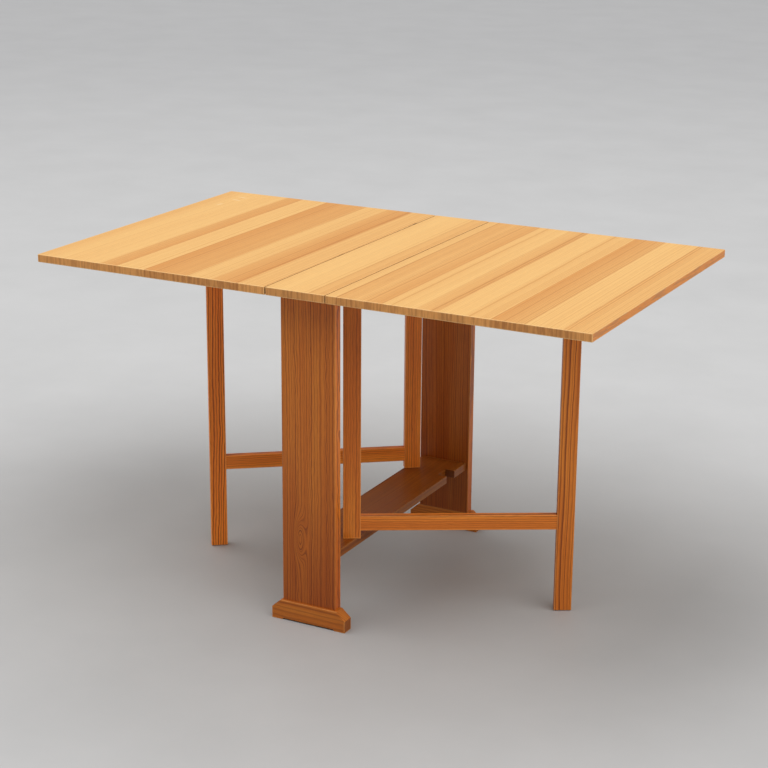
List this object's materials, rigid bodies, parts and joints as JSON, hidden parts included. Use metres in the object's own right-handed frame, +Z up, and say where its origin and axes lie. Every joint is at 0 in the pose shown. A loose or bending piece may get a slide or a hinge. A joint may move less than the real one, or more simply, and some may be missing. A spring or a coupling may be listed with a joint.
{
  "type": "gateleg table",
  "caption": "Drop-leaf dining table: wide leaves hinged to a narrow centre board rest on gates that swing out from a trestle of end panels, feet and a low shelf.",
  "frame": {"origin": "on the floor under the middle of the top", "axes": "+X along the length over both raised leaves, +Y from the front end panel to the back one, +Z up"},
  "size_m": [1.232, 0.748, 0.72],
  "materials": {
    "pale_pine": "satin, glued staves",
    "red_pine": "satin, aged and oiled",
    "dowel_wood": "raw",
    "hinge_steel": "rolled",
    "bright_steel": "turned"
  },
  "bodies": {
    "trestle": {"centre_board": "pale_pine", "end_panel_front": "red_pine", "end_panel_back": "red_pine", "foot_front": "red_pine", "foot_back": "red_pine", "shelf": "red_pine", "spine_rail": "red_pine", "shelf_dowels": "dowel_wood", "spine_dowels": "dowel_wood", "top_dowels": "dowel_wood", "foot_screws": "bright_steel", "spine_screws": "bright_steel", "hinge_plates_board_right": "hinge_steel", "hinge_pins_right": "bright_steel", "hinge_screws_board_right": "bright_steel", "hinge_plates_board_left": "hinge_steel", "hinge_pins_left": "bright_steel", "hinge_screws_board_left": "bright_steel"},
    "leaf_right": {"leaf_right": "pale_pine", "hinge_plates_leaf_right": "hinge_steel", "hinge_screws_leaf_right": "bright_steel"},
    "leaf_left": {"leaf_left": "pale_pine", "hinge_plates_leaf_left": "hinge_steel", "hinge_screws_leaf_left": "bright_steel"},
    "gate_right": {"gate_post_right": "red_pine", "gate_leg_right": "red_pine", "gate_lower_rail_right": "red_pine", "gate_upper_rail_right": "red_pine", "gate_pivots_right": "bright_steel"},
    "gate_left": {"gate_post_left": "red_pine", "gate_leg_left": "red_pine", "gate_lower_rail_left": "red_pine", "gate_upper_rail_left": "red_pine", "gate_pivots_left": "bright_steel"}
  },
  "joints": [
    {"name": "leaf_right_lift", "type": "hinge", "parent": "trestle", "child": "leaf_right", "pos_m": [0.067, 0, 0.7005], "axis": [0, -1, 0], "range_deg": [0, 5]},
    {"name": "leaf_left_lift", "type": "hinge", "parent": "trestle", "child": "leaf_left", "pos_m": [-0.067, 0, 0.7005], "axis": [0, 1, 0], "range_deg": [0, 5]},
    {"name": "gate_right_swing", "type": "hinge", "parent": "trestle", "child": "gate_right", "pos_m": [0.0435, -0.2213, 0.1654], "axis": [0, 0, 1], "range_deg": [-29.7, 60.3]},
    {"name": "gate_left_swing", "type": "hinge", "parent": "trestle", "child": "gate_left", "pos_m": [-0.0435, 0.2213, 0.1654], "axis": [0, 0, 1], "range_deg": [-37, 53]}
  ]
}
